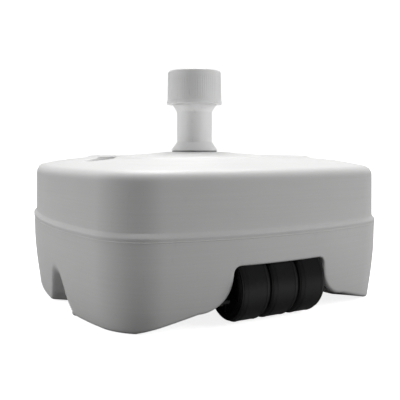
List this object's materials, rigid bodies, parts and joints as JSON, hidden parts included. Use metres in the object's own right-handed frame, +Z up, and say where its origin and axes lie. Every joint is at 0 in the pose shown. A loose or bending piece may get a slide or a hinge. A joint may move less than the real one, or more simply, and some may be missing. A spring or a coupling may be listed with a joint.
{
  "type": "parasol base",
  "caption": "Low rounded-square parasol base: hollow fillable tank, neck tube with a hand-tightened clamp nut, sunk screw filler cap and a roller under one side.",
  "frame": {"origin": "centre of the base on the ground, on the axis of the pole socket", "axes": "+Z up along the pole, -Y towards the roller side, +X to the right seen from the roller side"},
  "size_m": [0.4928, 0.5004, 0.351],
  "materials": {
    "tank_white": "satin moulded polyethylene",
    "neck_white": "satin moulded polypropylene",
    "nut_white": "fine ribbed moulded polypropylene",
    "cap_white": "satin moulded polypropylene",
    "collet_nylon": "natural nylon",
    "under_plastic": "grey moulded polypropylene",
    "wheel_black": "semi-gloss black moulded polyethylene",
    "bracket_black": "black moulded nylon",
    "seal_rubber": "soft black rubber",
    "zinc_steel": "bright zinc plated"
  },
  "bodies": {
    "base": {"tank": "tank_white", "pole_tube": "neck_white", "tube_gasket": "seal_rubber", "tube_washer": "zinc_steel", "tube_nut": "under_plastic", "axle": "zinc_steel", "wheel_washers": "collet_nylon", "axle_bracket_left": "bracket_black", "axle_bracket_right": "bracket_black", "bracket_screws": "zinc_steel"},
    "left_wheel": {"wheel_left": "wheel_black"},
    "middle_wheel": {"wheel_middle": "wheel_black"},
    "right_wheel": {"wheel_right": "wheel_black"},
    "clamp_sleeve": {"collet": "collet_nylon", "slip_ring": "collet_nylon"},
    "hand_nut": {"clamp_nut": "nut_white"},
    "cap_gasket": {"cap_seal": "seal_rubber"},
    "cap": {"filler_cap": "cap_white"}
  },
  "joints": [
    {"name": "left_wheel_spin", "type": "hinge", "parent": "base", "child": "left_wheel", "pos_m": [0, -0.206, 0.0489], "axis": [1, 0, 0], "continuous": true},
    {"name": "middle_wheel_spin", "type": "hinge", "parent": "base", "child": "middle_wheel", "pos_m": [0, -0.206, 0.0489], "axis": [1, 0, 0], "continuous": true},
    {"name": "right_wheel_spin", "type": "hinge", "parent": "base", "child": "right_wheel", "pos_m": [0, -0.206, 0.0489], "axis": [1, 0, 0], "continuous": true},
    {"name": "collet_rise", "type": "slide", "parent": "base", "child": "clamp_sleeve", "axis": [0, 0, 1], "range_m": [0, 0.008]},
    {"name": "nut_turn", "type": "hinge", "parent": "clamp_sleeve", "child": "hand_nut", "pos_m": [0, 0, 0.32], "axis": [0, 0, 1], "range_deg": [0, 480]},
    {"name": "cap_rise", "type": "slide", "parent": "base", "child": "cap_gasket", "axis": [0, 0, 1], "range_m": [0, 0.008]},
    {"name": "cap_turn", "type": "hinge", "parent": "cap_gasket", "child": "cap", "pos_m": [-0.15, -0.006, 0.2], "axis": [0, 0, 1], "range_deg": [0, 720]}
  ],
  "couplings": [
    {"joint": "collet_rise", "follows": "nut_turn", "m_per_rad": 0.00095493},
    {"joint": "cap_rise", "follows": "cap_turn", "m_per_rad": 0.00063662}
  ]
}
